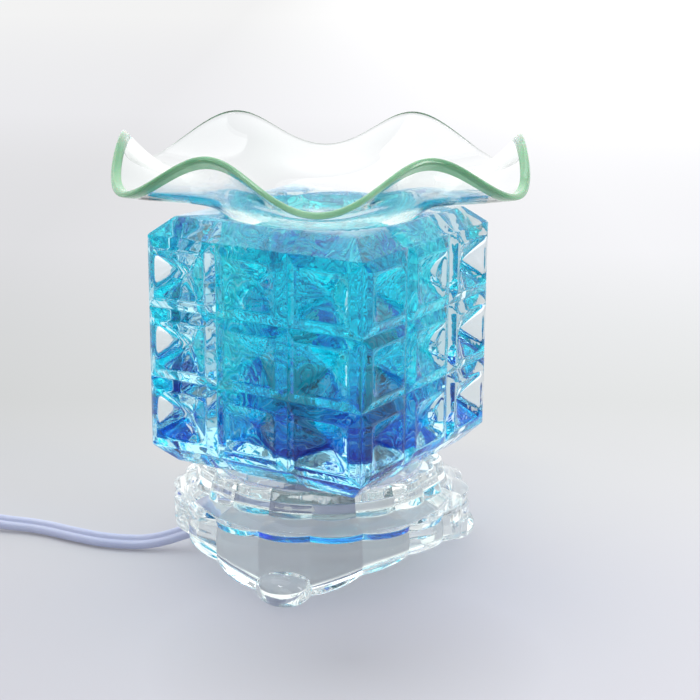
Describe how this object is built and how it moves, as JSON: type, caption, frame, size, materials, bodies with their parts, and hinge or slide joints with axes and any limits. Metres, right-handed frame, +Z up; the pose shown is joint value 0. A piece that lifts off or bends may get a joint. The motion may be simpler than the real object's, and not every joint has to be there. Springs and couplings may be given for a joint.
{
  "type": "wax melt warmer",
  "caption": "Electric wax melt warmer: wavy clear glass dish on a blue lined pressed glass block and scalloped glass base, with lamp, lead, inline dimmer and plug.",
  "frame": {"origin": "middle of the glass base, on the surface that the feet stand on", "axes": "+Z up; -Y towards the block's near corner, the side the picture was taken from; the lead leaves towards -X"},
  "size_m": [0.3036, 0.1658, 0.1431],
  "materials": {
    "dish_glass": "clear polished, pale green edge",
    "block_glass": "clear pressed glass over a blue lacquered cavity",
    "base_glass": "clear pressed",
    "gasket_silicone": "translucent",
    "washer_silicone": "matte",
    "zinc_steel": "zinc plated",
    "outlet_pvc": "moulded, satin",
    "lead_pvc": "extruded, satin, slightly translucent",
    "holder_ceramic": "unglazed steatite",
    "contact_brass": "plain",
    "lamp_quartz": "clear polished",
    "lamp_wire": "drawn wire",
    "core_pvc": "extruded",
    "tie_nylon": "moulded",
    "dimmer_abs": "moulded, fine spark texture",
    "wheel_abs": "moulded",
    "board_laminate": "solder mask",
    "component_epoxy": "moulded",
    "terminal_nylon": "moulded"
  },
  "bodies": {
    "root": {"glass_block": "block_glass", "glass_base": "base_glass", "seat_gasket": "gasket_silicone", "threaded_tube": "zinc_steel", "ceiling_washer": "washer_silicone", "steel_washer": "zinc_steel", "clamp_nut": "zinc_steel", "floor_washer": "washer_silicone", "bracket_nut": "zinc_steel", "cord_outlet": "outlet_pvc", "holder_bracket": "zinc_steel", "lamp_holder": "holder_ceramic", "holder_contacts": "contact_brass", "holder_screws": "zinc_steel", "inner_leads": "core_pvc", "lead_ferrules": "contact_brass", "power_lead": "lead_pvc", "coil_link": "lead_pvc", "lead_coil": "lead_pvc", "coil_tie": "tie_nylon", "dimmer_lower_case": "dimmer_abs", "dimmer_upper_case": "dimmer_abs", "dimmer_screws": "zinc_steel", "dimmer_grommets": "outlet_pvc", "dimmer_pot": "component_epoxy", "dimmer_board": "board_laminate", "dimmer_triac": "component_epoxy", "dimmer_capacitor": "component_epoxy", "dimmer_terminals": "terminal_nylon", "dimmer_cores": "core_pvc", "plug_tail": "lead_pvc", "plug_body": "outlet_pvc", "plug_blades": "contact_brass"},
    "dish": {"glass_dish": "dish_glass"},
    "lamp": {"lamp_capsule": "lamp_quartz", "lamp_pins": "lamp_wire", "lamp_filament": "lamp_wire"},
    "wheel": {"dimmer_wheel": "wheel_abs", "dimmer_shaft": "zinc_steel"}
  },
  "joints": [
    {"name": "dish_lift", "type": "slide", "parent": "root", "child": "dish", "axis": [0, 0, 1], "range_m": [0, 0.06]},
    {"name": "lamp_pull", "type": "slide", "parent": "root", "child": "lamp", "axis": [0, 0, 1], "range_m": [0, 0.008]},
    {"name": "wheel_turn", "type": "hinge", "parent": "root", "child": "wheel", "pos_m": [-0.164, 0.014, 0.009], "axis": [0, 0, 1], "range_deg": [0, 270]}
  ]
}
